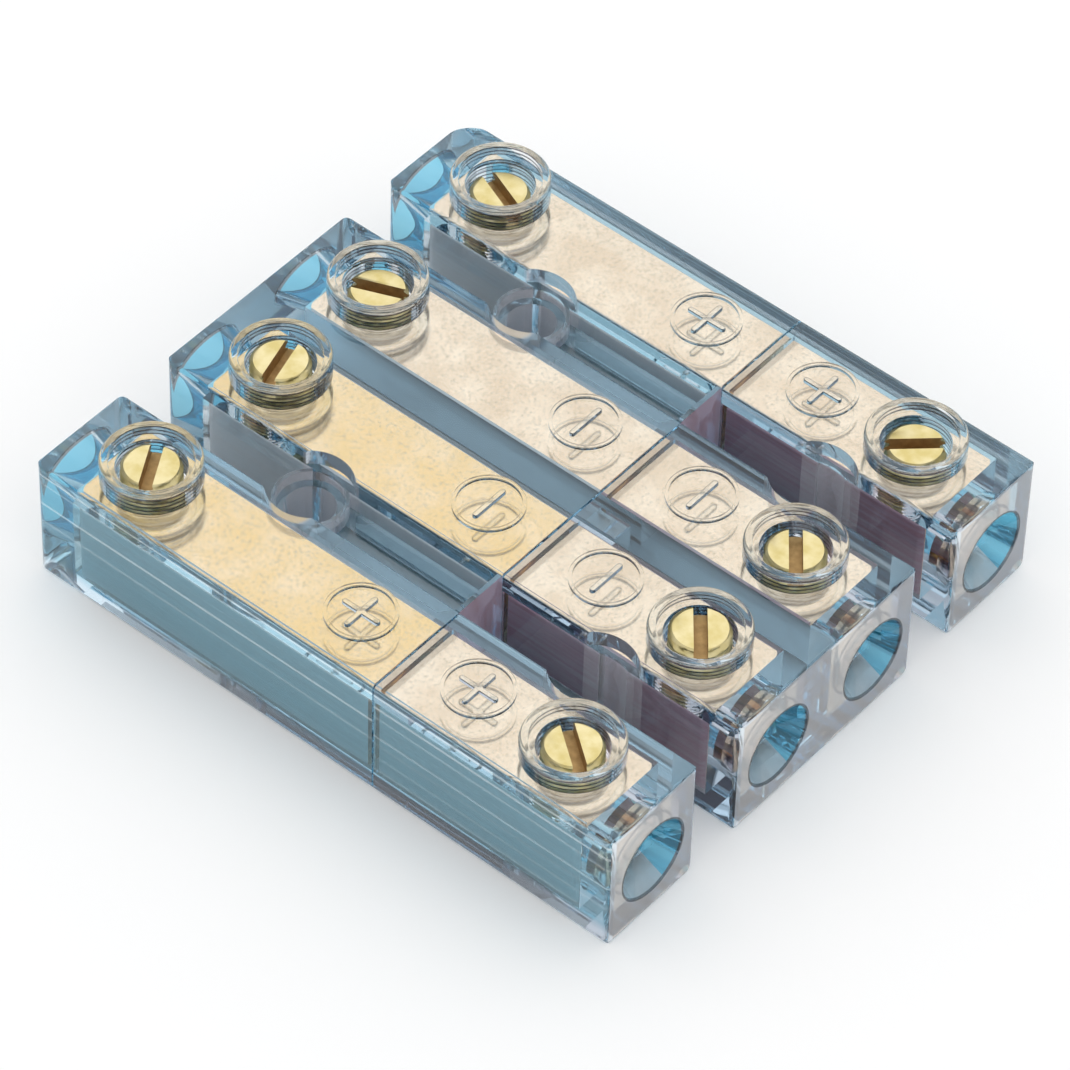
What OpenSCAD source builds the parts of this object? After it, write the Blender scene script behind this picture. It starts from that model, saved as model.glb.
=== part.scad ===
// Four-pole pluggable power distribution block: two clear moulded halves that mate
// at a seam, each holding four plated brass bars with a slotted terminal screw.
// X runs along the poles, Y across them, Z up. The origin is the centre of the
// block's underside. Each pole has a wire entry at both outer ends.

/* [Block] */
// Height of the moulded halves, without the screw collars
block_h = 11.8; // [11:0.1:14]
// Width of one pole
pole_w = 10.2; // [10:0.1:12]
// Open gap between an outer pole and the middle pair
pole_gap = 4.9; // [4.7:0.1:6]
// Solid rib between the two middle poles
mid_rib = 1.5; // [1.2:0.1:4]

/* [Halves] */
// Length of the long half, which carries the sockets
socket_len = 35.2; // [33.2:0.5:45.2]
// Length of the short half, which carries the pins
plug_len = 23.55; // [22.5:0.05:32]
// Gap between the mated faces
seam_gap = 0.15; // [0.1:0.05:0.4]

/* [Moulding walls] */
// Plastic above each bar
roof_t = 2.1; // [1.8:0.1:2.4]
// Plastic below each bar
floor_t = 1.5; // [1.2:0.1:1.8]
// Plastic beside each bar
side_t = 0.9; // [0.8:0.05:1.1]
// Play between a bar and its pocket
bar_play = 0.1; // [0.05:0.05:0.2]
// End wall in front of the bars of the socket half
socket_wall = 3.8; // [3:0.1:4.2]
// End wall in front of the bars of the plug half
plug_wall = 3.2; // [2.6:0.1:3.8]

/* [Moulding edges] */
// Rounding of each body's rear lower edge
lower_r = 1.7; // [0.6:0.1:2]
// Rounding of the lower edge at the socket half's outer end
end_r = 1.2; // [0.4:0.1:2]
// Rounding of the long upper edges
upper_r = 0.3; // [0.2:0.1:0.6]
// Rounding of the upright corners at the socket half's outer end
corner_r = 1; // [0.3:0.1:1.6]
// Rounding of the upright corners at the plug half's outer end
plug_corner_r = 0.6; // [0.3:0.1:1.6]
// Larger rounding of the one corner that shows which way round the block goes
key_corner_r = 3; // [2:0.1:3.2]

/* [Bars] */
// How far the socket bars stay behind the seam
socket_setback = 0.8; // [0.5:0.1:1.2]
// How far the plug bars stay behind the seam
plug_setback = 0.2; // [0.1:0.1:0.4]
// Rounding of a bar's corners at its wire end
bar_corner_r = 1; // [0.5:0.1:1.4]
// Chamfer along a bar's long edges
bar_chamfer = 0.25; // [0.1:0.05:0.5]
// Bore for the wire
wire_d = 4.6; // [4:0.1:4.6]
// Chamfer at the mouth of that bore
wire_lead = 0.2; // [0.1:0.05:0.3]
// How far the wire bore runs past the screw's axis
wire_past = 3.8; // [3:0.1:4]

/* [Wire entries] */
// Mouth of the funnel that leads the wire in
mouth_d = 7.1; // [6.4:0.1:7.6]
// Throat of the funnel, a little wider than the bore behind it
throat_d = 5; // [5:0.1:5.4]
// Length of the throat
throat_len = 0.8; // [0.5:0.1:1.2]

/* [Terminal screws] */
// Thread diameter over the crests
screw_d = 5; // [4.6:0.1:5.2]
// Length of a screw
screw_len = 5.5; // [5:0.1:6.5]
// Clearance round a screw in its tapped hole
thread_play = 0.05; // [0.03:0.01:0.1]
// Width of the driver slot
slot_w = 1.1; // [0.8:0.1:1.3]
// Depth of the driver slot
slot_depth = 1.3; // [1:0.1:1.6]
// Chamfer at both ends of a screw
screw_chamfer = 0.3; // [0.2:0.05:0.5]
// Screw axis from the outer end of the socket half
socket_screw_x = 7.9; // [7.2:0.1:9]
// Screw axis from the outer end of the plug half
plug_screw_x = 8.1; // [7.2:0.1:9]

/* [Screw collars] */
// Outside diameter of a collar
collar_d = 8.3; // [8:0.1:9.2]
// Height of the collars on the socket half
socket_collar_h = 2.1; // [1.2:0.05:3]
// Height of the collars on the plug half
plug_collar_h = 1.6; // [1.2:0.05:3]
// Bore of a collar
collar_bore = 5.8; // [5.6:0.1:6]
// Wider lead-in at the top of a collar
lead_in_d = 6.9; // [6.6:0.1:7.2]
// Depth of the lead-in
lead_in_depth = 0.9; // [0.5:0.1:1.2]
// Rounding of the collar's rim
rim_r = 0.3; // [0.1:0.05:0.4]

/* [Polarity pads] */
// Outside diameter of the raised ring that frames a polarity sign
pad_d = 5.9; // [5:0.1:6.4]
// Width of that ring
pad_ring_w = 0.3; // [0.2:0.05:0.6]
// Height of that ring
pad_h = 0.3; // [0.2:0.05:0.5]
// Pad centre from the seam on the socket half
socket_pad_x = 5.6; // [4:0.1:7]
// Pad centre from the seam on the plug half
plug_pad_x = 6.1; // [4:0.1:6.5]

/* [Fixing holes] */
// Hole for a fixing screw
fixing_d = 4.2; // [3.6:0.1:4.4]
// Upper seat, which cuts into the neighbouring poles
head_seat_d = 7.2; // [6.8:0.1:7.6]
// Depth of that seat
head_seat_depth = 1.5; // [1:0.1:1.6]
// Lower, narrower step
lower_seat_d = 5.6; // [5:0.1:5.8]
// Depth of the lower step on the socket half
lower_seat_depth = 1; // [0.5:0.1:2]
// Fixing hole from the outer end of the socket half
socket_fixing_x = 17.7; // [14.2:0.1:20]
// Fixing hole from the outer end of the plug half
plug_fixing_x = 12.4; // [11.8:0.1:13]
// Radius of the round end of a web, round its fixing hole
boss_r = 3.1; // [2.9:0.1:3.6]

/* [Webs between poles] */
// Depth of the recess above the socket half's web
recess_depth = 3.2; // [2:0.1:4]
// Run of the ramp that closes that recess at the seam
ramp_run = 2.3; // [1:0.1:4]
// Ledge at the top of the ramp
ramp_ledge = 0.4; // [0.3:0.1:0.8]
// Height of the plug half's low web
low_web_h = 4; // [3:0.1:6]

/* [Contact pins] */
// Diameter of a contact pin
pin_d = 4; // [3:0.1:4.2]
// Length of a pin in front of its bar
pin_reach = 9; // [6:0.1:11]
// Length of a pin inside its bar
pin_root = 5.5; // [4:0.1:6]
// Radial clearance of a pin in its socket
pin_fit = 0.05; // [0.02:0.01:0.1]
// Width of the cross slots that make the pin springy
pin_slot_w = 0.5; // [0.3:0.1:0.8]
// Length of the cross slots
pin_slot_len = 6.5; // [4:0.1:7]
// Free space in front of a pin at the end of its socket
socket_spare = 1.5; // [1:0.1:3]

/* [Keying tongue] */
// Length of the tongue that lines the halves up
tongue_len = 3; // [2:0.1:4]
// Thickness of the tongue
tongue_t = 1.6; // [1:0.1:1.8]
// Height of the tongue
tongue_h = 6; // [3:0.1:7]
// Clearance round the tongue
tongue_play = 0.15; // [0.1:0.05:0.2]

/* [Hidden] */

$fn = 64;
eps = 0.01;
cut = 1; // how far a cutting tool runs past the face it cuts

// Overall sizes and the faces along X
block_len = socket_len + seam_gap + plug_len;
mid_w = 2 * pole_w + mid_rib;
block_w = 2 * (pole_w + pole_gap) + mid_w;
x_left = -block_len / 2;
x_right = block_len / 2;
x_socket_face = x_left + socket_len;
x_plug_face = x_right - plug_len;

// Centre of each pole across the block, front to back
pole_y = [
  -block_w / 2 + pole_w / 2,
  -(mid_rib + pole_w) / 2,
  (mid_rib + pole_w) / 2,
  block_w / 2 - pole_w / 2];
poles = [0:3];
// Centre of each of the two gaps
gap_y = [-(mid_w + pole_gap) / 2, (mid_w + pole_gap) / 2];

// Bars and their pockets
seat_gap = 0.03;     // film of air under and behind a seated bar
pocket_w = pole_w - 2 * side_t;
pocket_h = block_h - floor_t - roof_t;
bar_w = pocket_w - 2 * bar_play;
bar_h = pocket_h - bar_play - seat_gap;
bar_z = floor_t + seat_gap;
bar_mid_z = bar_z + bar_h / 2;
bar_top_z = bar_z + bar_h;
socket_bar_x0 = x_left + socket_wall + seat_gap;
socket_bar_x1 = x_socket_face - socket_setback;
plug_bar_x0 = x_plug_face + plug_setback;
plug_bar_x1 = x_right - plug_wall - seat_gap;

// Screws, pads and fixing holes along X
x_socket_screw = x_left + socket_screw_x;
x_plug_screw = x_right - plug_screw_x;
x_socket_pad = x_socket_face - socket_pad_x;
x_plug_pad = x_plug_face + plug_pad_x;
x_socket_fixing = x_left + socket_fixing_x;
x_plug_fixing = x_right - plug_fixing_x;
socket_rim_z = block_h + socket_collar_h;
plug_rim_z = block_h + plug_collar_h;
tapped_d = screw_d + 2 * thread_play;

// Small rounding of the edges that are nearly sharp
front_r = 0.3;

// Webs
recess_z = block_h - recess_depth;
head_seat_z = block_h - head_seat_depth;
lower_seat_z = head_seat_z - lower_seat_depth;

// Pins and their sockets
pin_tip_x = plug_bar_x0 - pin_reach;
socket_end_x = pin_tip_x - socket_spare;
pin_socket_d = pin_d + 2 * pin_fit;
pin_nose = 0.6;      // chamfer at the tip of a pin
socket_lead = 0.4;   // chamfer at the mouth of a pin socket
press_play = 0.01;   // radial play of a pin's root in its bar
drill_tip = 0.3;     // depth of a drill's cone as a share of its diameter
tongue_z = bar_mid_z - tongue_h / 2;

// --- shapes shared by several pieces ---------------------------------------

// What a corner of radius r takes off a square one, at the origin
module corner_waste(r) {
  difference() {
    translate([-cut, -cut]) square(r + cut);
    translate([r, r]) circle(r);
  }
}

// A rectangle from [0, 0] to size, with its own radius at each corner:
// [left low, right low, right high, left high], 0 for a sharp one
module rounded_rect(size, radii) {
  places = [[0, 0, 0], [size[0], 0, 90], [size[0], size[1], 180], [0, size[1], 270]];
  difference() {
    square(size);
    for (i = [0:3])
      if (radii[i] > 0)
        translate([places[i][0], places[i][1]]) rotate(places[i][2]) corner_waste(radii[i]);
  }
}

// A flat outline in Y and Z, drawn out along X
module along_x(len) {
  rotate([90, 0, 90]) linear_extrude(len) children();
}

// A flat outline in X and Z, drawn out along Y
module along_y(len) {
  translate([0, len, 0]) rotate([90, 0, 0]) linear_extrude(len) children();
}

// Rod or hole along X, starting at x0
module rod_x(d, len) {
  rotate([0, 90, 0]) cylinder(d = d, h = len);
}

// One moulded body from its outer end at x = 0 to its sharp seam end at x = len:
// plan_r and back_r round its front and rear upright corners, foot_r the lower edge
// of its outer end
module moulded_body(len, wide, plan_r, back_r, foot_r) {
  intersection() {
    linear_extrude(block_h) rounded_rect([len, wide], [plan_r, 0, 0, back_r]);
    along_x(len) rounded_rect([wide, block_h], [front_r, lower_r, upper_r, upper_r]);
    along_y(wide) rounded_rect([len, block_h], [foot_r, 0, 0, front_r]);
  }
}

// The three bodies of one half, which leave the two gaps open
module three_bodies(len, plan_r, back_r, foot_r) {
  translate([0, -block_w / 2, 0]) moulded_body(len, pole_w, plan_r, plan_r, foot_r);
  translate([0, -mid_w / 2, 0]) moulded_body(len, mid_w, plan_r, plan_r, foot_r);
  translate([0, block_w / 2 - pole_w, 0]) moulded_body(len, pole_w, plan_r, back_r, foot_r);
}

// Collar round a terminal screw, from inside the roof up to its rounded rim
module collar_outside(rim_z) {
  collar_r = collar_d / 2;
  root_z = bar_top_z + bar_play + eps;
  rotate_extrude() {
    translate([0, root_z]) square([collar_r, rim_z - rim_r - root_z]);
    translate([0, root_z]) square([collar_r - rim_r, rim_z - root_z]);
    translate([collar_r - rim_r, rim_z - rim_r]) circle(rim_r, $fn = 32);
  }
}

// Bore of a collar, with its lead-in
module collar_hole(rim_z) {
  translate([0, 0, bar_top_z]) cylinder(d = collar_bore, h = rim_z - bar_top_z + cut);
  translate([0, 0, rim_z - lead_in_depth]) cylinder(d = lead_in_d, h = lead_in_depth + cut);
}

// Raised ring that frames a polarity sign
module polarity_ring() {
  translate([0, 0, block_h - eps]) difference() {
    cylinder(d = pad_d, h = pad_h + eps);
    translate([0, 0, -cut]) cylinder(d = pad_d - 2 * pad_ring_w, h = pad_h + 2 * cut);
  }
}

// Pocket for one bar, from its stop at x = 0 out through the seam
module bar_pocket(len) {
  translate([0, -pocket_w / 2, floor_t]) cube([len + cut, pocket_w, pocket_h]);
}

// Funnel that leads a wire through the end wall; the mouth is at x = 0
module wire_funnel(wall) {
  cone_len = wall - throat_len;
  outer_d = throat_d + (mouth_d - throat_d) * (cone_len + cut) / cone_len;
  translate([-cut, 0, 0]) rotate([0, 90, 0])
    cylinder(d1 = outer_d, d2 = throat_d, h = cone_len + cut);
  translate([cone_len - eps, 0, 0]) rod_x(throat_d, throat_len + cut);
}

// Stepped hole for a fixing screw, whose lower step ends at seat_z
module fixing_hole(seat_z) {
  translate([0, 0, -cut]) cylinder(d = fixing_d, h = block_h);
  translate([0, 0, seat_z]) cylinder(d = lower_seat_d, h = block_h);
  translate([0, 0, head_seat_z]) cylinder(d = head_seat_d, h = block_h);
}

// Round end of a web, inside its gap
module web_boss(h) {
  intersection() {
    cylinder(r = boss_r, h = h);
    translate([-boss_r, -pole_gap / 2 - eps, 0]) cube([2 * boss_r, pole_gap + 2 * eps, h]);
  }
}

// --- the two halves ---------------------------------------------------------

// Web of the socket half in one gap: a boss, a recessed floor and a closing ramp
module recessed_web() {
  run = x_socket_face - x_socket_fixing;
  profile = [
    [0, 0], [run, 0], [run, block_h], [run - ramp_ledge, block_h],
    [run - ramp_run, recess_z], [0, recess_z]];
  translate([x_socket_fixing, 0, 0]) {
    translate([0, -pole_gap / 2 - eps, 0]) along_y(pole_gap + 2 * eps) polygon(profile);
    web_boss(head_seat_z);
  }
}

// Web of the plug half in one gap, low enough to leave the bars' sides in view
module low_web() {
  run = x_plug_fixing - x_plug_face;
  translate([x_plug_face, -pole_gap / 2 - eps, 0]) cube([run, pole_gap + 2 * eps, low_web_h]);
  translate([x_plug_fixing, 0, 0]) web_boss(low_web_h);
}

// Tongue between the middle poles, which the plug half slides over
module tongue(play) {
  translate([x_socket_face - cut, -tongue_t / 2 - play, tongue_z - play])
    cube([cut + tongue_len + play, tongue_t + 2 * play, tongue_h + 2 * play]);
}

module socket_housing() color("lightsteelblue", 0.5) difference() {
  union() {
    translate([x_left, 0, 0]) three_bodies(socket_len, corner_r, key_corner_r, end_r);
    for (y = gap_y) translate([0, y, 0]) recessed_web();
    for (i = poles) translate([0, pole_y[i], 0]) {
      translate([x_socket_screw, 0, 0]) collar_outside(socket_rim_z);
      translate([x_socket_pad, 0, 0]) polarity_ring();
    }
    tongue(0);
  }
  for (i = poles) translate([0, pole_y[i], 0]) {
    translate([x_left + socket_wall, 0, 0]) bar_pocket(socket_len - socket_wall);
    translate([x_left, 0, bar_mid_z]) wire_funnel(socket_wall);
    translate([x_socket_screw, 0, 0]) collar_hole(socket_rim_z);
  }
  for (y = gap_y) translate([x_socket_fixing, y, 0]) fixing_hole(lower_seat_z);
}

module plug_housing() color("lightsteelblue", 0.5) difference() {
  union() {
    translate([x_right, 0, 0]) mirror([1, 0, 0])
      three_bodies(plug_len, plug_corner_r, plug_corner_r, front_r);
    for (y = gap_y) translate([0, y, 0]) low_web();
    for (i = poles) translate([0, pole_y[i], 0]) {
      translate([x_plug_screw, 0, 0]) collar_outside(plug_rim_z);
      translate([x_plug_pad, 0, 0]) polarity_ring();
    }
  }
  for (i = poles) translate([0, pole_y[i], 0]) {
    translate([x_right - plug_wall, 0, 0]) mirror([1, 0, 0])
      bar_pocket(plug_len - plug_wall);
    translate([x_right, 0, bar_mid_z]) mirror([1, 0, 0]) wire_funnel(plug_wall);
    translate([x_plug_screw, 0, 0]) collar_hole(plug_rim_z);
  }
  for (y = gap_y) translate([x_plug_fixing, y, 0]) fixing_hole(low_web_h);
  tongue(tongue_play);
}

// --- bars, pins and screws --------------------------------------------------

// Plain bar from x = 0, with rounded corners at that wire end
module bar_blank(len) {
  c = bar_chamfer;
  w = bar_w;
  h = bar_h;
  section = [
    [c, 0], [w - c, 0], [w, c], [w, h - c], [w - c, h], [c, h], [0, h - c], [0, c]];
  translate([0, -bar_w / 2, bar_z]) intersection() {
    along_x(len) polygon(section);
    linear_extrude(bar_h) rounded_rect([len, bar_w], [bar_corner_r, 0, 0, bar_corner_r]);
  }
}

// Drilled hole along X from x = 0, with the cone that a drill leaves
module drilling(d, len) {
  translate([-cut, 0, 0]) rod_x(d, cut + len);
  translate([len, 0, 0]) rotate([0, 90, 0]) cylinder(d1 = d, d2 = 0, h = d * drill_tip);
}

// Chamfer at the mouth of a hole along X from x = 0
module countersink(d, lead) {
  translate([-cut, 0, 0]) rotate([0, 90, 0])
    cylinder(d1 = d + 2 * (lead + cut), d2 = d, h = lead + cut);
}

// Bar with its wire bore at x = 0 and a tapped hole above it
module drilled_bar(len, screw_x) {
  difference() {
    bar_blank(len);
    translate([0, 0, bar_mid_z]) {
      drilling(wire_d, screw_x + wire_past);
      countersink(wire_d, wire_lead);
    }
    translate([screw_x, 0, bar_mid_z]) cylinder(d = tapped_d, h = bar_h);
  }
}

module socket_bar(i) color("wheat") translate([0, pole_y[i], 0]) difference() {
  translate([socket_bar_x0, 0, 0])
    drilled_bar(socket_bar_x1 - socket_bar_x0, x_socket_screw - socket_bar_x0);
  translate([socket_bar_x1, 0, bar_mid_z]) mirror([1, 0, 0]) {
    drilling(pin_socket_d, socket_bar_x1 - socket_end_x);
    countersink(pin_socket_d, socket_lead);
  }
}

module plug_bar(i) color("wheat") translate([0, pole_y[i], 0]) difference() {
  translate([plug_bar_x1, 0, 0]) mirror([1, 0, 0])
    drilled_bar(plug_bar_x1 - plug_bar_x0, plug_bar_x1 - x_plug_screw);
  translate([plug_bar_x0, 0, bar_mid_z]) drilling(pin_d + 2 * press_play, pin_root);
}

// Turned pin, sprung by two crossed slots and chamfered at its nose
module contact_pin(i) color("goldenrod")
  translate([pin_tip_x, pole_y[i], bar_mid_z]) difference() {
    union() {
      rotate([0, 90, 0]) cylinder(d1 = pin_d - 2 * pin_nose, d2 = pin_d, h = pin_nose);
      translate([pin_nose, 0, 0]) rod_x(pin_d, pin_reach + pin_root - pin_nose);
    }
    for (turn = [0, 90]) rotate([turn, 0, 0])
      translate([-cut, -pin_d / 2 - cut, -pin_slot_w / 2])
        cube([pin_slot_len + cut, pin_d + 2 * cut, pin_slot_w]);
  }

// Slotted screw whose top face is at z = 0, with its slot turned from the X axis
module slotted_screw(turn) {
  r = screw_d / 2;
  c = screw_chamfer;
  difference() {
    rotate_extrude() polygon([
      [0, -screw_len], [r - c, -screw_len], [r, c - screw_len], [r, -c], [r - c, 0], [0, 0]]);
    rotate([0, 0, turn]) translate([-screw_d, -slot_w / 2, -slot_depth])
      cube([2 * screw_d, slot_w, slot_depth + cut]);
  }
}

// How far each screw's slot was left turned from the X axis
socket_turns = [120, 106, 23, 158];
plug_turns = [143, 130, 129, 43];

// How far each screw was left below the rim of its collar
socket_sinks = [0.7, 0.6, 1.5, 1.6];
plug_sinks = [0.7, 0.3, 1, 1.1];

module socket_screw(i) color("gold")
  translate([x_socket_screw, pole_y[i], socket_rim_z - socket_sinks[i]])
    slotted_screw(socket_turns[i]);

module plug_screw(i) color("gold")
  translate([x_plug_screw, pole_y[i], plug_rim_z - plug_sinks[i]])
    slotted_screw(plug_turns[i]);

socket_housing();
plug_housing();
for (i = poles) {
  socket_bar(i);
  plug_bar(i);
  contact_pin(i);
  socket_screw(i);
  plug_screw(i);
}
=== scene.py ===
import math

import bmesh
import bpy
from mathutils import Matrix, Vector


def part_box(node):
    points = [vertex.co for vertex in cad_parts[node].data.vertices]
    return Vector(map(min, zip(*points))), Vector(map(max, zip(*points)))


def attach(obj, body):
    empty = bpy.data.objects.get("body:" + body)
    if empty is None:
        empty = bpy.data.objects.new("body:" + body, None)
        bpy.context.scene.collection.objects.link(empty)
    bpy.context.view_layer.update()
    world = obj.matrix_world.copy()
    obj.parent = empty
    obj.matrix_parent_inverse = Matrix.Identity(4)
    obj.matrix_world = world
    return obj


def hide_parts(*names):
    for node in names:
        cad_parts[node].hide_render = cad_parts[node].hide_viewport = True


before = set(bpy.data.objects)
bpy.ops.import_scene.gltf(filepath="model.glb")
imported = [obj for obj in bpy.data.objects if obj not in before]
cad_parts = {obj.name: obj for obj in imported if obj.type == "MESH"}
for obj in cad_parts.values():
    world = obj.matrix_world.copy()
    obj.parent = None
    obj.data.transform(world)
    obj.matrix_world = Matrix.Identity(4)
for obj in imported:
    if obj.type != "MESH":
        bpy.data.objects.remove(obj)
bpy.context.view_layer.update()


# --- Table, room and softbox -----------------------------------------------------
# A plain white table under a broad overhead softbox. The walls of the room are left
# a little darker than its ceiling, so that the clear plastic has something to bend.

BOUNCES_THROUGH_PLASTIC = 24
BOUNCES_OTHERWISE = 16
TABLE_REACH = 3.0
TABLE_DROP = 0.00005
TABLE_SHADE = 0.88
WALL_GREY = (0.40, 0.43, 0.46, 1)
CEILING_WHITE = (1, 1, 1, 1)
CEILING_HEIGHT = 0.4
ROOM_STRENGTH = 0.95
SOFTBOX_PLACE = Vector((-0.25, 0.35, 0.75))
SOFTBOX_AIM = Vector((0, 0, 0.01))
SOFTBOX_SIDE = 0.9
SOFTBOX_WATTS = 1.2

scene = bpy.context.scene
scene.view_settings.view_transform = "Standard"
scene.cycles.max_bounces = BOUNCES_THROUGH_PLASTIC
scene.cycles.transmission_bounces = BOUNCES_THROUGH_PLASTIC
scene.cycles.glossy_bounces = BOUNCES_OTHERWISE
scene.cycles.transparent_max_bounces = BOUNCES_OTHERWISE


def add_object(name, data):
    """A new object in the scene."""
    thing = bpy.data.objects.new(name, data)
    scene.collection.objects.link(thing)
    return thing


def new_material(name):
    """An empty node material, with its tree and its output node."""
    material = bpy.data.materials.new(name)
    material.use_nodes = True
    tree = material.node_tree
    tree.nodes.clear()
    return material, tree, tree.nodes.new("ShaderNodeOutputMaterial")


def put(tree, value, socket):
    """Links value into the socket if it is a socket too, or else sets it."""
    if isinstance(value, bpy.types.NodeSocket):
        tree.links.new(value, socket)
    else:
        socket.default_value = value


def add_node(tree, kind, **values):
    """A node with its settings (small first letter) and inputs (capital) filled in."""
    node = tree.nodes.new(kind)
    for name, value in values.items():
        if name[0].isupper():
            put(tree, value, node.inputs[name.replace("_", " ")])
        else:
            setattr(node, name, value)
    return node


def calculate(tree, operation, first, second=0.0):
    """The result of a Math node on sockets or numbers."""
    node = add_node(tree, "ShaderNodeMath", operation=operation)
    put(tree, first, node.inputs[0])
    put(tree, second, node.inputs[1])
    return node.outputs[0]


def ranged(tree, value, low, high, from_low=0.0, from_high=1.0):
    """Value moved from one span to another, and held inside it."""
    node = add_node(tree, "ShaderNodeMapRange", Value=value, From_Min=from_low,
                    From_Max=from_high, To_Min=low, To_Max=high)
    return node.outputs["Result"]


def shaded(tree, value, low, high):
    """A blend of two colours along value; low and high are (position, colour)."""
    ramp = add_node(tree, "ShaderNodeValToRGB", Fac=value)
    for stop, (position, colour) in zip(ramp.color_ramp.elements, (low, high)):
        stop.position = position
        stop.color = colour
    return ramp.outputs["Color"]


table_white, tree, out = new_material("table_white")
seen_by = add_node(tree, "ShaderNodeLightPath")
seen_straight = calculate(tree, "MAXIMUM", seen_by.outputs["Is Camera Ray"],
                          seen_by.outputs["Is Transmission Ray"])
paper = add_node(tree, "ShaderNodeBsdfDiffuse",
                 Color=ranged(tree, seen_straight, TABLE_SHADE, 1.0))
tree.links.new(paper.outputs[0], out.inputs["Surface"])

table_mesh = bpy.data.meshes.new("table")
table_mesh.from_pydata([(x, y, -TABLE_DROP) for x, y in (
    (-TABLE_REACH, -TABLE_REACH), (TABLE_REACH, -TABLE_REACH),
    (TABLE_REACH, TABLE_REACH), (-TABLE_REACH, TABLE_REACH))], [], [(0, 1, 2, 3)])
table_mesh.materials.append(table_white)
table = add_object("table", table_mesh)

room = bpy.data.worlds.new("room")
room.use_nodes = True
scene.world = room
tree = room.node_tree
tree.nodes.clear()
out = tree.nodes.new("ShaderNodeOutputWorld")
direction = add_node(tree, "ShaderNodeTexCoord")
height = add_node(tree, "ShaderNodeSeparateXYZ", Vector=direction.outputs["Generated"])
walls = shaded(tree, height.outputs["Z"], (0.0, WALL_GREY),
               (CEILING_HEIGHT, CEILING_WHITE))
backdrop = add_node(tree, "ShaderNodeBackground", Color=walls, Strength=ROOM_STRENGTH)
tree.links.new(backdrop.outputs[0], out.inputs["Surface"])

softbox_data = bpy.data.lights.new("softbox_above", "AREA")
softbox_data.shape = "RECTANGLE"
softbox_data.size = SOFTBOX_SIDE
softbox_data.size_y = SOFTBOX_SIDE
softbox_data.energy = SOFTBOX_WATTS
softbox = add_object("softbox_above", softbox_data)
softbox.location = SOFTBOX_PLACE
softbox.rotation_euler = (SOFTBOX_AIM - SOFTBOX_PLACE).to_track_quat("-Z", "Y").to_euler()


# --- Camera ----------------------------------------------------------------------
# A long lens at the front right of the block, about 47 degrees up, rolled a little.
# Azimuth is counted from straight in front of the block, towards its right.

CAMERA_AZIMUTH = math.radians(38.8565)
CAMERA_ELEVATION = math.radians(47.3692)
CAMERA_ROLL = math.radians(1.8463)
CAMERA_AIM = Vector((0.00149, -0.00170, 0.00590))
CAMERA_DISTANCE = 0.5134
CAMERA_LENS = 219.4
CAMERA_SENSOR = 36
CAMERA_NEAR = 0.01
CAMERA_FAR = 20

sin_a, cos_a = math.sin(CAMERA_AZIMUTH), math.cos(CAMERA_AZIMUTH)
sin_e, cos_e = math.sin(CAMERA_ELEVATION), math.cos(CAMERA_ELEVATION)
sin_r, cos_r = math.sin(CAMERA_ROLL), math.cos(CAMERA_ROLL)
away = Vector((sin_a * cos_e, -cos_a * cos_e, sin_e))
level_right = Vector((cos_a, sin_a, 0))
level_up = Vector((-sin_a * sin_e, cos_a * sin_e, cos_e))
camera_right = cos_r * level_right + sin_r * level_up
camera_up = cos_r * level_up - sin_r * level_right
camera_data = bpy.data.cameras.new("camera")
camera_data.lens = CAMERA_LENS
camera_data.sensor_width = CAMERA_SENSOR
camera_data.clip_start = CAMERA_NEAR
camera_data.clip_end = CAMERA_FAR
camera = add_object("camera", camera_data)
turn = Matrix((camera_right, camera_up, away)).transposed().to_4x4()
camera.matrix_world = Matrix.Translation(CAMERA_AIM + CAMERA_DISTANCE * away) @ turn
scene.camera = camera


# --- Clear mouldings -------------------------------------------------------------
# The two halves are injection mouldings of clear polycarbonate with a faint blue
# tint, which plug into each other. The walls lead light sideways, and the shades this
# gives are painted on: each kind of wall, edge and mouth gets a painted colour of its
# own, standing in for the light, shade and reflections seen there.

# The faces of a half, in metres; z is counted from the table, y from the middle
BLOCK_TOP = 0.0118
BAR_TOP = 0.0097
SIDE_Y = 0.0255
GAP_Y = 0.0134
GAP_NEAR_Y = 0.0108
GAP_FAR_Y = 0.016
END_WALL_X = 0.0256
END_FACE_X = 0.0293
SEAM_X = 0.00582
SEAM_BACK_X = 0.0055
POLE_AXIS_Z = 0.005565
INNER_POLE_Y = 0.00585
POLE_PITCH = 0.0151
FUNNEL_REACH = 0.00362
FUNNEL_BACK_Y = 0.0014
MOUTH_INSIDE = 0.00014
MOUTH_OUTSIDE = 0.0001
SCREW_X = 0.02145
COLLAR_REACH = 0.0044
RIM_BOTTOM = BLOCK_TOP + 0.00001
RIM_TOP = BLOCK_TOP + 0.00029
SOCKET_HOLE_X = -0.01175
PLUG_HOLE_X = 0.01705
HOLE_REACH = 0.0038
FOOT_TOP = 0.001
FOOT_FADE = 0.0022

# Limits on the share of a face's normal along an axis, which tell the walls apart
FACING_LEAST = 0.7
SQUARE_LEAST = 0.985
UPRIGHT_MOST = 0.5
FUNNEL_WALL_MOST = 0.9

# Painted reflections: light lines along the outer side, where the edges of the bars
# and pockets show through the wall, as heights and strengths
LINE_HALF = 0.00022
LINE_TOP_GREY = 0.3
LINE_WAVER = 0.0004
SOCKET_REFLECTED_EDGES = ((0.0058, 0.5), (0.00785, 1.0), (0.0102, 0.6), (0.011, 1.0))
PLUG_REFLECTED_EDGES = ((0.0026, 0.3), (0.004, 0.3), (0.0055, 0.2), (0.0064, 0.6),
              (0.0085, 0.5), (0.0097, 1.0), (0.011, 1.0))

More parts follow.
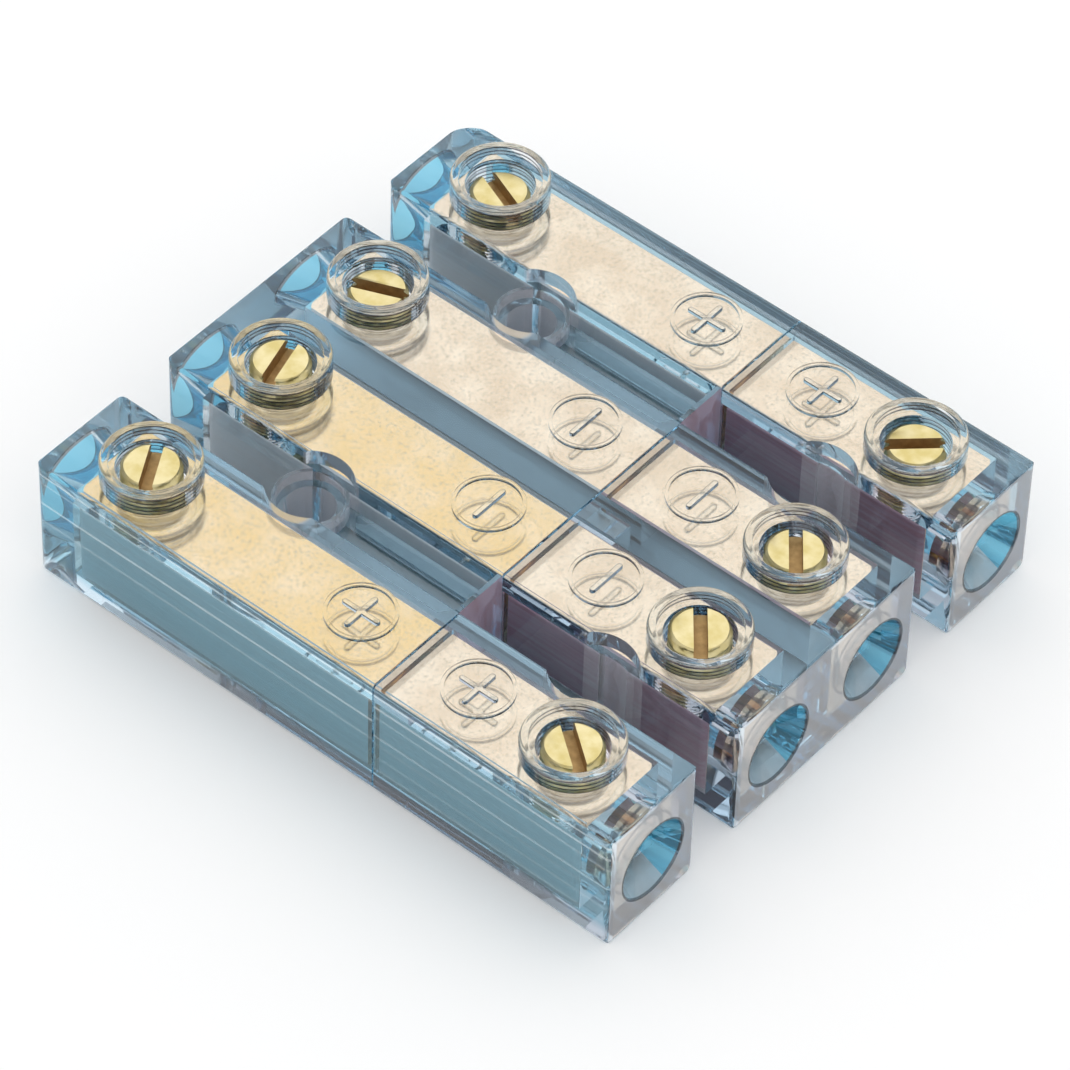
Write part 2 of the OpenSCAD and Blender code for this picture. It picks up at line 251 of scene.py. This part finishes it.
CLEAR = (0.96, 0.985, 1.0, 1)
# Painted reflection: teal on the outer sides, for the bars' sides reflecting a blue
# backdrop, and painted light lines where the edges of bars and pockets show through.
# FOOT_GREY is a paler strip along the foot
SIDE_REFLECTION_TEAL = (0.30, 0.56, 0.66, 1)
SIDE_EDGE_REFLECTION_LIGHT = (0.86, 0.97, 1.0, 1)
FOOT_GREY = (0.95, 0.92, 0.94, 1)
# Painted reflections of the neighbouring walls and bars: grey on the gap walls, rose on
# the plug half's gap walls and at the seam
GAP_REFLECTION_GREY = (0.86, 0.84, 0.84, 1)
GAP_REFLECTION_ROSE = (0.74, 0.62, 0.67, 1)
SEAM_REFLECTION_ROSE = (0.80, 0.52, 0.60, 1)
# Painted light: a pale grey in the fixing holes
HOLE_PAINTED_LIGHT_GREY = (0.80, 0.76, 0.78, 1)
# Painted shade: dark grey on the upright faces of the rims and of the signs' beads
EDGE_SHADE_GREY = (0.42, 0.46, 0.50, 1)
# Painted light: the end faces a pale, milky grey
END_PAINTED_LIGHT_GREY = (0.96, 0.95, 0.97, 1)
# Painted light: deep blue on the funnels' far walls, for the light seen through the blue
# plastic there
FUNNEL_PAINTED_BLUE = (0.10, 0.56, 0.82, 1)
# Painted shade: near black at the funnels' mouths and in the collars' fine rings
MOUTH_SHADE_DARK = (0.10, 0.12, 0.14, 1)
RING_SHADE_GREY = (0.08, 0.07, 0.09, 1)
BODY_TINT = (0.42, 0.68, 0.80, 1)
BODY_DENSITY = 70.0
SHADOW_TINT = (0.86, 0.93, 0.96, 1)
PLASTIC_IOR = 1.52

# How milky each part of the surface is, from 0 for clear. The milk is what lets the
# painted light, shade and reflections of the funnels, ends, outer sides, edge lines,
# seam and holes show
FUNNEL_MILK = 0.2
END_MILK = 0.32
SIDE_MILK = 0.14
LINE_MILK = 0.36
SEAM_MILK = 0.45
HOLE_MILK = 0.22

# The relief: a slow waver of the flat walls, as a share of RELIEF_DEPTH, and the
# collars' fine rings, as a factor on their own height
RELIEF_DEPTH = 0.00002
FLOW_STRETCH = (60.0, 900.0, 900.0)
FLOW_HEIGHT = 0.012
RING_PITCH = 0.0004
RING_WAVER = 0.0003
RING_HEIGHT = 2500.0


def above(tree, value, limit):
    """1 where value is over the limit, and 0 elsewhere."""
    return calculate(tree, "GREATER_THAN", value, limit)


def below(tree, value, limit):
    """1 where value is under the limit, and 0 elsewhere."""
    return calculate(tree, "LESS_THAN", value, limit)


def minus(tree, first, second):
    """The first value less the second."""
    return calculate(tree, "SUBTRACT", first, second)


def product(tree, *values):
    """All the values multiplied together; for masks, 1 where they overlap."""
    result = values[0]
    for value in values[1:]:
        result = calculate(tree, "MULTIPLY", result, value)
    return result


def total(tree, *values):
    """All the values added together."""
    result = values[0]
    for value in values[1:]:
        result = calculate(tree, "ADD", result, value)
    return result


def between(tree, value, low, high):
    """1 where value lies between the limits, and 0 elsewhere."""
    return product(tree, above(tree, value, low), below(tree, value, high))


def length_of(tree, first, second):
    """The length of a vector from its two parts."""
    return calculate(tree, "SQRT", total(
        tree, product(tree, first, first), product(tree, second, second)))


def tinted(tree, under, mask, colour):
    """A colour laid over another where the mask is 1."""
    node = add_node(tree, "ShaderNodeMix", data_type="RGBA", Factor=mask, A=under,
                    B=colour)
    return node.outputs["Result"]


def reflected_edges_at(tree, height, lines):
    """A grey ramp up the side: painted light at each reflected edge line, dark between
    them.
    """
    ramp = add_node(tree, "ShaderNodeValToRGB",
                    Fac=calculate(tree, "DIVIDE", height, BLOCK_TOP))
    stops = ramp.color_ramp.elements
    stops[0].position, stops[0].color = 0.0, (0, 0, 0, 1)
    stops[1].position, stops[1].color = 1.0, (LINE_TOP_GREY,) * 3 + (1,)
    for centre, strength in lines:
        for offset, level in ((-LINE_HALF, 0.0), (0.0, strength), (LINE_HALF, 0.0)):
            stop = stops.new((centre + offset) / BLOCK_TOP)
            stop.color = (level, level, level, 1)
    return ramp.outputs["Color"]


def surface_with_clear_shadow(tree, out, shader):
    """Joins a clear shader to the output, and lets lamp light through it."""
    ways = add_node(tree, "ShaderNodeLightPath")
    lets_through = add_node(tree, "ShaderNodeBsdfTransparent", Color=SHADOW_TINT)
    surface = add_node(tree, "ShaderNodeMixShader", Fac=ways.outputs["Is Shadow Ray"])
    tree.links.new(shader.outputs[0], surface.inputs[1])
    tree.links.new(lets_through.outputs[0], surface.inputs[2])
    tree.links.new(surface.outputs[0], out.inputs["Surface"])


def dress(node_name, material):
    """Gives a CAD solid its material."""
    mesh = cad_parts[node_name].data
    mesh.materials.clear()
    mesh.materials.append(material)


clear_plastic, tree, out = new_material("clear_blue_polycarbonate")
place = add_node(tree, "ShaderNodeTexCoord")
point = add_node(tree, "ShaderNodeSeparateXYZ", Vector=place.outputs["Object"])
facing = add_node(tree, "ShaderNodeSeparateXYZ", Vector=place.outputs["Normal"])
x, y, z = point.outputs
far_x = calculate(tree, "ABSOLUTE", x)
far_y = calculate(tree, "ABSOLUTE", y)
face_x, face_y, face_z = [calculate(tree, "ABSOLUTE", part) for part in facing.outputs]

# Distances from a pole's bore, from a screw and from a fixing hole
on_outer_pole = above(tree, far_y, GAP_Y)
off_axis_y = minus(tree, minus(tree, far_y, INNER_POLE_Y),
                   product(tree, on_outer_pole, POLE_PITCH))
off_axis = length_of(tree, off_axis_y, minus(tree, z, POLE_AXIS_Z))
from_screw = length_of(tree, minus(tree, far_x, SCREW_X), off_axis_y)
from_gap = minus(tree, far_y, GAP_Y)
from_hole = calculate(tree, "MINIMUM",
                      length_of(tree, minus(tree, x, SOCKET_HOLE_X), from_gap),
                      length_of(tree, minus(tree, x, PLUG_HOLE_X), from_gap))

# Masks, each 1 on its own part of the moulding
on_plug = above(tree, x, SEAM_X)
off_plug = minus(tree, 1.0, on_plug)
by_gap = between(tree, far_y, GAP_NEAR_Y, GAP_FAR_Y)
on_side = above(tree, face_y, FACING_LEAST)
on_outside = product(tree, on_side, above(tree, far_y, SIDE_Y))
on_gap = product(tree, on_side, by_gap)
on_cross_wall = above(tree, face_x, FACING_LEAST)
on_seam = product(tree, on_cross_wall, between(tree, x, SEAM_BACK_X, SEAM_X), by_gap)
on_end = product(tree, on_cross_wall, above(tree, far_x, END_FACE_X))
on_back_of_bore = above(tree, product(tree, off_axis_y, calculate(tree, "SIGN", y)),
                        FUNNEL_BACK_Y)
near_end = above(tree, far_x, END_WALL_X)
on_funnel = product(tree, below(tree, off_axis, FUNNEL_REACH), near_end,
                    below(tree, face_x, FUNNEL_WALL_MOST),
                    calculate(tree, "MAXIMUM", on_back_of_bore, below(tree, x, 0.0)))
on_mouth = product(tree, near_end, between(
    tree, off_axis, FUNNEL_REACH - MOUTH_INSIDE, FUNNEL_REACH + MOUTH_OUTSIDE))
upright = below(tree, face_z, UPRIGHT_MOST)
on_hole = product(tree, below(tree, from_hole, HOLE_REACH), upright)
on_rim = product(tree, between(tree, z, RIM_BOTTOM, RIM_TOP), upright)
on_collar = product(tree, below(tree, from_screw, COLLAR_REACH), above(tree, z, BAR_TOP),
                    upright)
ring_waver = add_node(tree, "ShaderNodeTexNoise", Vector=place.outputs["Object"],
                      Scale=260.0, Detail=2.0)
ring_height = total(tree, z, product(tree, ring_waver.outputs["Fac"], RING_WAVER))
ring_phase = calculate(tree, "PINGPONG", ring_height, RING_PITCH / 2)
on_ring = product(tree, on_collar, below(tree, ring_phase, RING_PITCH / 6))
flow_map = add_node(tree, "ShaderNodeMapping", Vector=place.outputs["Object"],
                    Scale=FLOW_STRETCH)
flow = add_node(tree, "ShaderNodeTexNoise", Vector=flow_map.outputs[0], Scale=1.0,
                Detail=2.0, Roughness=0.5)
# Where the painted reflected edge lines fall on the outer side, wavering a little
line_height = total(tree, z, product(
    tree, minus(tree, flow.outputs["Fac"], 0.5), LINE_WAVER))
on_reflected_edge = total(tree, product(tree, reflected_edges_at(tree, line_height, SOCKET_REFLECTED_EDGES), off_plug),
                product(tree, reflected_edges_at(tree, line_height, PLUG_REFLECTED_EDGES), on_plug))
on_foot = ranged(tree, z, 1.0, 0.0, from_low=FOOT_TOP, from_high=FOOT_FADE)

# Painted light, shade and reflections laid over the clear colour, part by part
glass = CLEAR
for mask, colour in ((on_outside, SIDE_REFLECTION_TEAL),
                     (product(tree, on_outside, on_reflected_edge), SIDE_EDGE_REFLECTION_LIGHT),
                     (product(tree, on_outside, on_foot), FOOT_GREY),
                     (on_gap, GAP_REFLECTION_GREY),
                     (product(tree, on_gap, on_plug), GAP_REFLECTION_ROSE),
                     (on_seam, SEAM_REFLECTION_ROSE),
                     (on_hole, HOLE_PAINTED_LIGHT_GREY),
                     (on_rim, EDGE_SHADE_GREY),
                     (on_end, END_PAINTED_LIGHT_GREY),
                     (on_funnel, FUNNEL_PAINTED_BLUE),
                     (on_mouth, MOUTH_SHADE_DARK),
                     (on_ring, RING_SHADE_GREY)):
    glass = tinted(tree, glass, mask, colour)

side_milk = total(tree, SIDE_MILK, product(tree, on_reflected_edge, LINE_MILK))
milk = total(tree, product(tree, on_funnel, FUNNEL_MILK),
             product(tree, on_end, END_MILK), product(tree, on_outside, side_milk),
             product(tree, on_seam, SEAM_MILK), product(tree, on_hole, HOLE_MILK))
on_flat = above(tree, calculate(tree, "MAXIMUM", face_x, calculate(
    tree, "MAXIMUM", face_y, face_z)), SQUARE_LEAST)
relief = total(tree, product(tree, flow.outputs["Fac"], on_flat, FLOW_HEIGHT),
               product(tree, ring_phase, on_collar, RING_HEIGHT))
bumps = add_node(tree, "ShaderNodeBump", Height=relief, Strength=1.0,
                 Distance=RELIEF_DEPTH)
moulding = add_node(tree, "ShaderNodeBsdfPrincipled", Base_Color=glass, Roughness=0.0,
                    IOR=PLASTIC_IOR, Normal=bumps.outputs["Normal"],
                    Transmission_Weight=minus(tree, 1.0, milk))
body_tint = add_node(tree, "ShaderNodeVolumeAbsorption", Color=BODY_TINT,
                     Density=BODY_DENSITY)
surface_with_clear_shadow(tree, out, moulding)
tree.links.new(body_tint.outputs[0], out.inputs["Volume"])

for half_name in ("socket", "plug"):
    dress(f"{half_name}_housing", clear_plastic)


# --- Bars ------------------------------------------------------------------------
# Sawn lengths of drawn brass bar with a thin satin plating, drilled from both ends
# and tapped from above. Each is pressed into its pocket in a moulding.

BAR_CREAM = (0.75, 0.54, 0.37, 1)
BAR_PALE = (0.87, 0.67, 0.50, 1)
BAR_GOLD = (0.82, 0.53, 0.21, 1)
BAR_SPECK = (0.50, 0.36, 0.24, 1)
# Painted reflections on the bars' sides: grey in the gaps, rose on the plug half,
# blue-grey on the outer sides, with light bluish streaks that follow the drawing lines
BAR_SIDE_REFLECTION_GREY = (0.62, 0.62, 0.64, 1)
PLUG_BAR_SIDE_REFLECTION_ROSE = (0.42, 0.26, 0.31, 1)
OUTER_BAR_SIDE_REFLECTION_GREY = (0.50, 0.55, 0.58, 1)
BAR_SIDE_REFLECTION_STREAK = (0.66, 0.80, 0.86, 1)
OUTER_SIDE_Y = 0.0245
DRAWN_STRETCH = (90.0, 2600.0, 2600.0)
TOP_ROUGHNESS = 0.14
SIDE_ROUGHENING = 0.3
SIDE_DULLING = 0.8

satin_plate, tree, out = new_material("satin_plated_brass")
place = add_node(tree, "ShaderNodeTexCoord")
point = add_node(tree, "ShaderNodeSeparateXYZ", Vector=place.outputs["Object"])
facing = add_node(tree, "ShaderNodeSeparateXYZ", Vector=place.outputs["Normal"])
x, y, z = point.outputs
on_side = above(tree, calculate(tree, "ABSOLUTE", facing.outputs["Y"]), FACING_LEAST)
on_outside = product(tree, on_side, above(
    tree, calculate(tree, "ABSOLUTE", y), OUTER_SIDE_Y))
on_plug_side = product(tree, on_side, above(tree, x, SEAM_X))
on_front_poles = product(tree, below(tree, y, 0.0), below(tree, x, SEAM_X))

drawn = add_node(tree, "ShaderNodeMapping", Vector=place.outputs["Object"],
                 Scale=DRAWN_STRETCH)
lines = add_node(tree, "ShaderNodeTexNoise", Vector=drawn.outputs[0], Scale=1.0,
                 Detail=3.0)
cloud = add_node(tree, "ShaderNodeTexNoise", Vector=place.outputs["Object"], Scale=220.0,
                 Detail=6.0, Roughness=0.65)
grit = add_node(tree, "ShaderNodeTexNoise", Vector=place.outputs["Object"], Scale=3200.0,
                Detail=2.0)
# More gold on the two front poles of the socket half, in cloudy patches
front_gold_cloud = ranged(tree, cloud.outputs["Fac"], 0.9, 0.5, from_low=0.35, from_high=0.65)
specks = ranged(tree, grit.outputs["Fac"], 0.0, 0.6, from_low=0.5, from_high=0.8)
reflection_streaks = ranged(tree, lines.outputs["Fac"], 0.0, 0.35, from_low=0.4, from_high=0.75)

metal = shaded(tree, cloud.outputs["Fac"], (0.38, BAR_CREAM), (0.62, BAR_PALE))
for mask, colour in ((product(tree, on_front_poles, front_gold_cloud), BAR_GOLD),
                     (specks, BAR_SPECK),
                     (on_side, BAR_SIDE_REFLECTION_GREY),
                     (on_plug_side, PLUG_BAR_SIDE_REFLECTION_ROSE),
                     (on_outside, OUTER_BAR_SIDE_REFLECTION_GREY),
                     (product(tree, on_side, reflection_streaks), BAR_SIDE_REFLECTION_STREAK)):
    metal = tinted(tree, metal, mask, colour)
grain = add_node(tree, "ShaderNodeBump", Height=lines.outputs["Fac"], Strength=0.12,
                 Distance=RELIEF_DEPTH)
shine = minus(tree, 1.0, product(tree, on_side, SIDE_DULLING))
roughness = total(tree, TOP_ROUGHNESS, product(tree, on_side, SIDE_ROUGHENING))
plate = add_node(tree, "ShaderNodeBsdfPrincipled", Base_Color=metal, Metallic=shine,
                 Roughness=roughness, Normal=grain.outputs["Normal"])
tree.links.new(plate.outputs[0], out.inputs["Surface"])

for half_name in ("socket", "plug"):
    for pole in range(1, 5):
        dress(f"{half_name}_bar_{pole}", satin_plate)


# --- Contact pins ----------------------------------------------------------------
# Turned brass pins, pressed into the ends of the plug half's bars, and split
# crosswise so that they spring against the sockets in the other half.

PIN_BRASS = (0.72, 0.52, 0.24, 1)
LATHE_STRETCH = (9000.0, 300.0, 300.0)

turned_brass, tree, out = new_material("turned_brass")
place = add_node(tree, "ShaderNodeTexCoord")
lathe = add_node(tree, "ShaderNodeMapping", Vector=place.outputs["Object"],
                 Scale=LATHE_STRETCH)
marks = add_node(tree, "ShaderNodeTexNoise", Vector=lathe.outputs[0], Scale=1.0,
                 Detail=2.0)
ridges = add_node(tree, "ShaderNodeBump", Height=marks.outputs["Fac"], Strength=0.3,
                  Distance=RELIEF_DEPTH)
pin_metal = add_node(tree, "ShaderNodeBsdfPrincipled", Base_Color=PIN_BRASS, Metallic=1.0,
                     Roughness=0.3, Normal=ridges.outputs["Normal"])
tree.links.new(pin_metal.outputs[0], out.inputs["Surface"])

for pole in range(1, 5):
    dress(f"contact_pin_{pole}", turned_brass)


# --- Terminal screws -------------------------------------------------------------
# Headless slotted screws cut from brass rod and driven down through the collars.
# The thread is a true helix with a flat crest, and the slot is sawn straight across.

SCREW_RADIUS = 0.0025
SCREW_LENGTH = 0.0055
END_CHAMFER = 0.0003
THREAD_PITCH = 0.0008
THREAD_DEPTH = 0.00042
STEPS_ROUND = 64
STEPS_A_TURN = 10
SLOT_WIDTH = 0.0011
SLOT_DEPTH = 0.0013

# The thread's section, as shares of a pitch: where its crest ends, where its root
# starts and ends, and how wide each flank is
CREST_END = 0.18
ROOT_START = 0.46
ROOT_END = 0.72
FLANK_SHARE = 0.28

# How far each screw is driven round: its slot's angle to the X axis, pole by pole
SLOT_TURNS = {"socket": (120, 106, 23, 158), "plug": (143, 130, 129, 43)}
SHARP_EDGE = math.radians(35)
DULL_BRASS = (0.58, 0.48, 0.20, 1)
BRIGHT_BRASS = (0.71, 0.62, 0.35, 1)
SLOT_DARK_BRASS = (0.24, 0.14, 0.05, 1)
SLOT_LIGHT_BRASS = (0.66, 0.44, 0.19, 1)
SCRATCH_DEPTH = 0.00003

screw_brass, tree, out = new_material("bright_screw_brass")
place = add_node(tree, "ShaderNodeTexCoord")
patches = add_node(tree, "ShaderNodeTexNoise", Vector=place.outputs["Object"],
                   Scale=700.0, Detail=4.0)
scratches = add_node(tree, "ShaderNodeBump", Height=patches.outputs["Fac"], Strength=0.2,
                     Distance=SCRATCH_DEPTH)
colour = shaded(tree, patches.outputs["Fac"], (0.35, DULL_BRASS), (0.65, BRIGHT_BRASS))
screw_metal = add_node(tree, "ShaderNodeBsdfPrincipled", Base_Color=colour, Metallic=1.0,
                       Roughness=0.28, Normal=scratches.outputs["Normal"])
tree.links.new(screw_metal.outputs[0], out.inputs["Surface"])

# The slot is a darker, mottled brass than the screw's top
slot_brass, tree, out = new_material("sawn_slot_brass")
place = add_node(tree, "ShaderNodeTexCoord")
slot_mottle = add_node(tree, "ShaderNodeTexNoise", Vector=place.outputs["Object"],
                     Scale=1500.0)
colour = shaded(tree, slot_mottle.outputs["Fac"], (0.0, SLOT_DARK_BRASS), (1.0, SLOT_LIGHT_BRASS))
slot_metal = add_node(tree, "ShaderNodeBsdfPrincipled", Base_Color=colour, Metallic=0.7,
                      Roughness=0.5)
tree.links.new(slot_metal.outputs[0], out.inputs["Surface"])


def thread_radius(turns):
    """Radius at a phase of the thread, from 0 to 1: crest, flank, root, flank."""
    phase = turns % 1
    if phase < CREST_END:
        fall = 0.0
    elif phase < ROOT_START:
        fall = (phase - CREST_END) / FLANK_SHARE
    elif phase < ROOT_END:
        fall = 1.0
    else:
        fall = 1.0 - (phase - ROOT_END) / FLANK_SHARE
    return SCREW_RADIUS - THREAD_DEPTH * fall


def skinned(shape, rings):
    """Closes a stack of rings into one body, with a wall between each two."""
    for first, second in zip(rings, rings[1:]):
        for step in range(len(first)):
            after = (step + 1) % len(first)
            shape.faces.new((first[step], second[step], second[after], first[after]))
    shape.faces.new(rings[0])
    shape.faces.new(list(reversed(rings[-1])))
    bmesh.ops.recalc_face_normals(shape, faces=shape.faces)


def blank_from(shape, name):
    """A finished bmesh as an object in the scene, to be repeated."""
    mesh = bpy.data.meshes.new(name)
    shape.to_mesh(mesh)
    shape.free()
    return add_object(name, mesh)


def threaded_rod():
    """A threaded rod whose top face is at z = 0."""
    shape = bmesh.new()
    rows = int(SCREW_LENGTH / THREAD_PITCH * STEPS_A_TURN)
    rings = []
    for row in range(rows + 1):
        z = -SCREW_LENGTH * row / rows
        from_end = min(-z, SCREW_LENGTH + z)
        limit = SCREW_RADIUS - max(0.0, END_CHAMFER - from_end)
        ring = []
        for step in range(STEPS_ROUND):
            angle = 2 * math.pi * step / STEPS_ROUND
            r = min(limit, thread_radius(z / THREAD_PITCH - step / STEPS_ROUND))
            ring.append(shape.verts.new((r * math.cos(angle), r * math.sin(angle), z)))
        rings.append(ring)
    skinned(shape, rings)
    return blank_from(shape, "threaded_rod")


def new_recipe(name, **inputs):
    """An empty Geometry Nodes tree with named inputs, and its two end nodes."""
    tree = bpy.data.node_groups.new(name, "GeometryNodeTree")
    sockets = [(title, kind, "INPUT") for title, kind in inputs.items()]
    for title, kind, end in [("Geometry", "Geometry", "INPUT")] + sockets + [
            ("Geometry", "Geometry", "OUTPUT")]:
        tree.interface.new_socket(title.replace("_", " "), in_out=end,
                                  socket_type=f"NodeSocket{kind}")
    return tree, tree.nodes.new("NodeGroupInput"), tree.nodes.new("NodeGroupOutput")


def copies_on(tree, spots, shape, **more):
    """One copy of shape on each of the spots."""
    node = add_node(tree, "GeometryNodeInstanceOnPoints", Points=spots,
                    Instance=shape, **more)
    return node.outputs[0]


def sawn_screw_recipe():
    """Geometry Nodes: a rod on each spot, its driver slot sawn at Turn to the X axis."""
    tree, given, result = new_recipe("sawn_screw", Rod="Object", Turn="Float",
                                     Slot_Length="Float", Slot_Width="Float",
                                     Slot_Depth="Float")
    rod = add_node(tree, "GeometryNodeObjectInfo", Object=given.outputs["Rod"])
    size = add_node(tree, "ShaderNodeCombineXYZ", X=given.outputs["Slot Length"],
                    Y=given.outputs["Slot Width"],
                    Z=calculate(tree, "MULTIPLY", given.outputs["Slot Depth"], 2.0))
    blade = add_node(tree, "GeometryNodeMeshCube", Size=size.outputs[0])
    marked = add_node(tree, "GeometryNodeStoreNamedAttribute", data_type="BOOLEAN",
                      domain="FACE", Geometry=blade.outputs["Mesh"], Name="sawn",
                      Value=True)
    turned = add_node(tree, "ShaderNodeCombineXYZ", Z=given.outputs["Turn"])
    rods = copies_on(tree, given.outputs["Geometry"], rod.outputs["Geometry"])
    blades = copies_on(tree, given.outputs["Geometry"], marked.outputs[0],
                       Rotation=turned.outputs[0])
    whole = add_node(tree, "GeometryNodeRealizeInstances", Geometry=rods)
    cut = add_node(tree, "GeometryNodeMeshBoolean", operation="DIFFERENCE",
                   solver="EXACT", Mesh_1=whole.outputs[0], Mesh_2=blades)
    real = add_node(tree, "GeometryNodeRealizeInstances", Geometry=cut.outputs["Mesh"])
    brass = add_node(tree, "GeometryNodeSetMaterial", Geometry=real.outputs[0],
                     Material=screw_brass)
    was_sawn = add_node(tree, "GeometryNodeInputNamedAttribute", data_type="BOOLEAN",
                        Name="sawn")
    slotted = add_node(tree, "GeometryNodeSetMaterial", Geometry=brass.outputs[0],
                       Selection=was_sawn.outputs["Attribute"], Material=slot_brass)
    tree.links.new(slotted.outputs[0], result.inputs[0])
    return tree


def made_by(recipe, spots, marks=(), **values):
    """The plain mesh that a recipe makes on the spots, some of them marked by name."""
    points = bpy.data.meshes.new("spots")
    points.from_pydata(spots, [], [])
    for title, flags in marks:
        flag = points.attributes.new(title, "BOOLEAN", "POINT")
        flag.data.foreach_set("value", flags)
    maker = add_object("maker", points)
    modifier = maker.modifiers.new(recipe.name, "NODES")
    modifier.node_group = recipe
    for item in recipe.interface.items_tree:
        title = item.name.replace(" ", "_")
        if item.in_out == "INPUT" and title in values:
            modifier[item.identifier] = values[title]
    shaped = maker.evaluated_get(bpy.context.evaluated_depsgraph_get())
    mesh = bpy.data.meshes.new_from_object(shaped)
    maker.modifiers.remove(modifier)
    bpy.data.objects.remove(maker)
    return mesh


rod = threaded_rod()
sawn_screw = sawn_screw_recipe()
for half_name in ("socket", "plug"):
    for pole in range(1, 5):
        node = f"{half_name}_screw_{pole}"
        low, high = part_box(node)
        centre = ((low[0] + high[0]) / 2, (low[1] + high[1]) / 2, high[2])
        mesh = made_by(sawn_screw, [centre], Rod=rod,
                       Turn=math.radians(SLOT_TURNS[half_name][pole - 1]),
                       Slot_Length=4 * SCREW_RADIUS, Slot_Width=SLOT_WIDTH,
                       Slot_Depth=SLOT_DEPTH)
        mesh.shade_smooth()
        mesh.set_sharp_from_angle(angle=SHARP_EDGE)
        screw = add_object(f"{half_name}_terminal_screw_{pole}", mesh)
        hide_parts(node)
        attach(screw, node)
bpy.data.objects.remove(rod)


# --- Polarity signs --------------------------------------------------------------
# Plus and minus signs moulded with the halves, standing inside the round rings. Each
# is a raised bead with rounded ends, and a plus is one cross-shaped outline.

STROKE_LENGTH = 0.00375
STROKE_WIDTH = 0.0005
STROKE_HEIGHT = 0.0003
STROKE_ROOT = 0.00002
STROKE_CHAMFER = 0.00006
STEPS_ROUND_END = 6
PAD_FROM_SEAM = {"socket": 0.00560, "plug": 0.00610}
SEAM_GAP = 0.00015
POLES_WITH_PLUS = (True, False, False, True)
BEAD_UPRIGHT = 0.9

sign_plastic, tree, out = new_material("moulded_sign_plastic")
place = add_node(tree, "ShaderNodeTexCoord")
facing = add_node(tree, "ShaderNodeSeparateXYZ", Vector=place.outputs["Normal"])
upright = below(tree, calculate(tree, "ABSOLUTE", facing.outputs["Z"]), BEAD_UPRIGHT)
mottle = add_node(tree, "ShaderNodeTexNoise", Vector=place.outputs["Object"],
                  Scale=1400.0)
polish = add_node(tree, "ShaderNodeBump", Height=mottle.outputs["Fac"], Strength=0.05,
                  Distance=RELIEF_DEPTH)
# Painted shade: the upright faces of each bead are dark grey
colour = tinted(tree, CLEAR, upright, EDGE_SHADE_GREY)
bead = add_node(tree, "ShaderNodeBsdfPrincipled", Base_Color=colour, Roughness=0.02,
                IOR=PLASTIC_IOR, Transmission_Weight=1.0, Normal=polish.outputs["Normal"])
surface_with_clear_shadow(tree, out, bead)


def rounded_end(angle):
    """The round end of a stroke that points along angle."""
    reach = (STROKE_LENGTH - STROKE_WIDTH) / 2
    dots = []
    for step in range(STEPS_ROUND_END + 1):
        turn = angle - math.pi / 2 + math.pi * step / STEPS_ROUND_END
        dots.append((reach * math.cos(angle) + STROKE_WIDTH / 2 * math.cos(turn),
                     reach * math.sin(angle) + STROKE_WIDTH / 2 * math.sin(turn)))
    return dots


def sign_outline(is_plus):
    """The outline of a sign, counter-clockwise: a cross, or one stroke along Y."""
    if not is_plus:
        return rounded_end(math.pi / 2) + rounded_end(-math.pi / 2)
    outline = []
    for quarter in range(4):
        outline += rounded_end(quarter * math.pi / 2)
        nook = quarter * math.pi / 2 + math.pi / 4
        reach = STROKE_WIDTH / math.sqrt(2)
        outline.append((reach * math.cos(nook), reach * math.sin(nook)))
    return outline


def sign_blank(is_plus):
    """A sign as a closed bead whose upper edge is chamfered."""
    outline = sign_outline(is_plus)
    shape = bmesh.new()
    rings = []
    for z, inset in ((STROKE_HEIGHT, STROKE_CHAMFER), (STROKE_HEIGHT - STROKE_CHAMFER, 0),
                     (-STROKE_ROOT, 0)):
        ring = []
        for index, (x, y) in enumerate(outline):
            before, after = outline[index - 1], outline[(index + 1) % len(outline)]
            along = Vector((after[0] - before[0], after[1] - before[1])).normalized()
            ring.append(shape.verts.new((x - inset * along.y, y + inset * along.x, z)))
        rings.append(ring)
    skinned(shape, rings)
    return blank_from(shape, "plus_blank" if is_plus else "minus_blank")


def sign_recipe():
    """Geometry Nodes: a plus on each spot that is marked for one, a minus on the rest."""
    tree, given, result = new_recipe("polarity_signs", Plus="Object", Minus="Object",
                                     Size="Float")
    wants_plus = add_node(tree, "GeometryNodeInputNamedAttribute", data_type="BOOLEAN",
                          Name="plus")
    wants_minus = add_node(tree, "FunctionNodeBooleanMath", operation="NOT")
    tree.links.new(wants_plus.outputs["Attribute"], wants_minus.inputs[0])
    both = tree.nodes.new("GeometryNodeJoinGeometry")
    for title, chosen in (("Plus", wants_plus.outputs["Attribute"]),
                          ("Minus", wants_minus.outputs[0])):
        blank = add_node(tree, "GeometryNodeObjectInfo", Object=given.outputs[title])
        copies = copies_on(tree, given.outputs["Geometry"], blank.outputs["Geometry"],
                           Selection=chosen, Scale=given.outputs["Size"])
        tree.links.new(copies, both.inputs[0])
    real = add_node(tree, "GeometryNodeRealizeInstances", Geometry=both.outputs[0])
    painted = add_node(tree, "GeometryNodeSetMaterial", Geometry=real.outputs[0],
                       Material=sign_plastic)
    tree.links.new(painted.outputs[0], result.inputs[0])
    return tree


polarity_signs = sign_recipe()
plus_blank, minus_blank = sign_blank(True), sign_blank(False)
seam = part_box("plug_housing")[0][0]
for half_name, middle in (("socket", seam - SEAM_GAP - PAD_FROM_SEAM["socket"]),
                          ("plug", seam + PAD_FROM_SEAM["plug"])):
    spots = []
    for pole in range(1, 5):
        low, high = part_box(f"{half_name}_bar_{pole}")
        spots.append((middle, (low[1] + high[1]) / 2, BLOCK_TOP))
    mesh = made_by(polarity_signs, spots, marks=(("plus", POLES_WITH_PLUS),),
                   Plus=plus_blank, Minus=minus_blank, Size=1.0)
    signs = add_object(f"{half_name}_polarity_signs", mesh)
    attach(signs, f"{half_name}_half")
bpy.data.objects.remove(plus_blank)
bpy.data.objects.remove(minus_blank)
